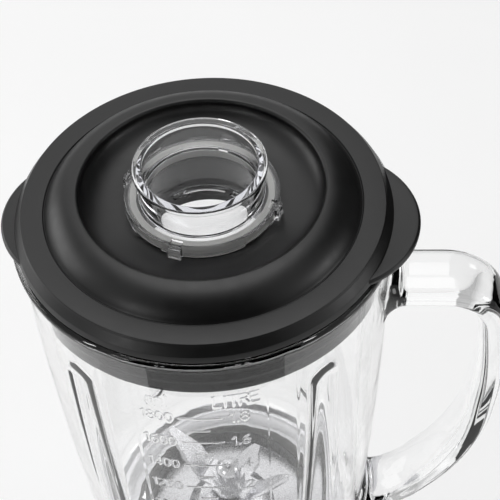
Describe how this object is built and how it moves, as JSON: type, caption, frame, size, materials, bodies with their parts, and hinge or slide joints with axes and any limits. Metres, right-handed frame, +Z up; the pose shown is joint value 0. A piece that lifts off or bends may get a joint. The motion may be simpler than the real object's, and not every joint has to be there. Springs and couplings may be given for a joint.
{
  "type": "countertop blender",
  "caption": "Countertop blender: glass jug with side handle, pour spout, push-in black lid and clear measuring cap, on a domed motor base with a control knob.",
  "frame": {"origin": "on the motor axis, in the plane that the rubber feet rest on", "axes": "+Z up along the motor and blade axis; +X towards the jug handle; -Y is the front, with the knob and the graduations"},
  "size_m": [0.212, 0.2106, 0.3986],
  "materials": {
    "clear_cap": "clear injection-moulded plastic",
    "soft_seal": "translucent silicone",
    "lid_plastic": "satin black, fine texture",
    "black_rubber": "satin black rubber",
    "jug_glass": "clear pressed glass",
    "black_plastic": "matte black",
    "body_plastic": "gloss off-white",
    "silver_plastic": "metallised silver",
    "bronze": "sintered bronze",
    "stainless": "stainless steel, brushed",
    "zinc_screws": "zinc-plated steel",
    "lamination": "stacked electrical steel",
    "copper": "enamelled copper wire",
    "brass": "brass",
    "carbon": "pressed carbon",
    "cast_aluminium": "die cast",
    "fan_plastic": "natural nylon",
    "board_green": "solder mask green",
    "switch_plastic": "dark grey",
    "pin_plastic": "ivory acetal",
    "pointer_white": "white inlay"
  },
  "bodies": {
    "base": {"base_housing": "body_plastic", "jar_cradle": "silver_plastic", "bottom_plate": "black_plastic", "rubber_feet": "black_rubber", "bottom_screws": "zinc_screws", "cord_gland": "black_rubber", "stator_core": "lamination", "field_coils": "copper", "upper_bracket": "cast_aluminium", "lower_bracket": "cast_aluminium", "upper_bearing": "stainless", "lower_bearing": "stainless", "brush_holders": "brass", "carbon_brushes": "carbon", "motor_bolts": "zinc_screws", "motor_dampers": "black_rubber", "motor_screws": "zinc_screws", "speed_switch": "switch_plastic", "switch_nut": "zinc_screws", "circuit_board": "board_green", "interlock_switch": "switch_plastic", "dial_plate": "stainless"},
    "motor_rotor": {"motor_shaft": "stainless", "armature_core": "lamination", "armature_winding": "copper", "commutator": "copper", "cooling_fan": "fan_plastic", "shaft_slinger": "black_rubber", "drive_coupling": "black_plastic"},
    "knob": {"control_knob": "black_plastic", "knob_pointer": "pointer_white"},
    "interlock": {"interlock_pin": "pin_plastic", "interlock_spring": "stainless"},
    "jar": {"jar_glass": "jug_glass", "blade_seal": "soft_seal", "blade_carrier": "stainless", "blade_bearing": "bronze", "shaft_seal": "black_rubber"},
    "collar": {"jar_collar": "silver_plastic"},
    "blade_rotor": {"blade_shaft": "stainless", "blade_sleeve": "stainless", "lower_blade": "stainless", "blade_spacer": "stainless", "upper_blade": "stainless", "blade_nut": "stainless", "jar_coupling": "black_rubber"},
    "lid": {"lid_shell": "lid_plastic", "lid_gasket": "black_rubber"},
    "cap_ring": {"cap_seal": "soft_seal"},
    "cap": {"measuring_cap": "clear_cap"}
  },
  "joints": [
    {"name": "motor_spin", "type": "hinge", "parent": "base", "child": "motor_rotor", "pos_m": [0, 0, 0.083], "axis": [0, 0, 1], "continuous": true},
    {"name": "knob_turn", "type": "hinge", "parent": "base", "child": "knob", "pos_m": [0, -0.1, 0.075], "axis": [0, -1, 0], "range_deg": [-120, 40]},
    {"name": "interlock_slide", "type": "slide", "parent": "base", "child": "interlock", "axis": [0, 0, 1], "range_m": [0, 0.003], "deforming": ["interlock_spring"]},
    {"name": "jar_lift", "type": "slide", "parent": "base", "child": "jar", "axis": [0, 0, 1], "range_m": [0, 0.12]},
    {"name": "collar_turn", "type": "hinge", "parent": "jar", "child": "collar", "pos_m": [0, 0, 0.16], "axis": [0, 0, -1], "range_deg": [0, 60]},
    {"name": "blade_spin", "type": "hinge", "parent": "jar", "child": "blade_rotor", "pos_m": [0, 0, 0.18], "axis": [0, 0, 1], "continuous": true},
    {"name": "lid_lift", "type": "slide", "parent": "jar", "child": "lid", "axis": [0, 0, 1], "range_m": [0, 0.09]},
    {"name": "cap_lift", "type": "slide", "parent": "lid", "child": "cap_ring", "axis": [0, 0, 1], "range_m": [0, 0.06]},
    {"name": "cap_turn", "type": "hinge", "parent": "cap_ring", "child": "cap", "pos_m": [0, 0, 0.38], "axis": [0, 0, 1], "range_deg": [0, 57]}
  ],
  "couplings": [
    {"joint": "blade_spin", "follows": "motor_spin", "ratio": 1},
    {"joint": "interlock_slide", "follows": "jar_lift", "ratio": 0.025}
  ]
}
